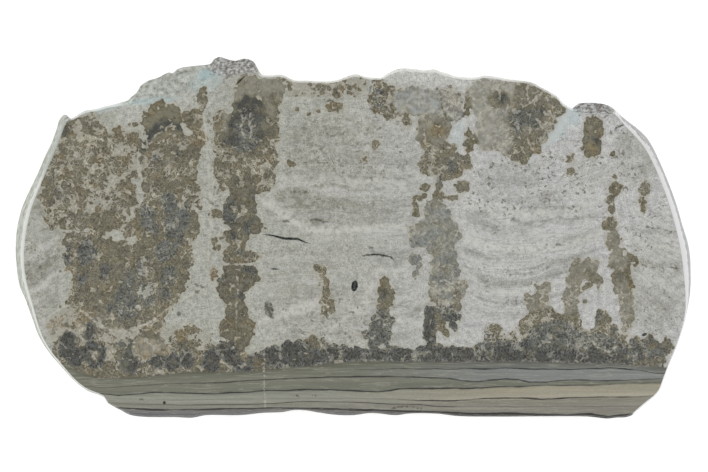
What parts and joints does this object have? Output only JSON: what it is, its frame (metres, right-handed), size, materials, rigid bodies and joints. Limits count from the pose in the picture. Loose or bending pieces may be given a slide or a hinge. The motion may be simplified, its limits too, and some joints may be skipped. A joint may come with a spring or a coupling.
{
  "type": "stromatolite fossil slab",
  "caption": "Polished display slab of landscape-marble stromatolite: round ground ends, knobbly natural top, bedded foot and a flat sawn back to lie on.",
  "frame": {"origin": "middle of the slab's outline, on its flat sawn back", "axes": "+X along the bedding, +Y from the oldest bed to the growth top, +Z out of the polished face"},
  "size_m": [0.24, 0.1282, 0.016],
  "materials": {
    "polished_stone": "polished face with dull sawn back and rough broken top"
  },
  "bodies": {
    "root": {"stromatolite_slab": "polished_stone"}
  },
  "joints": []
}
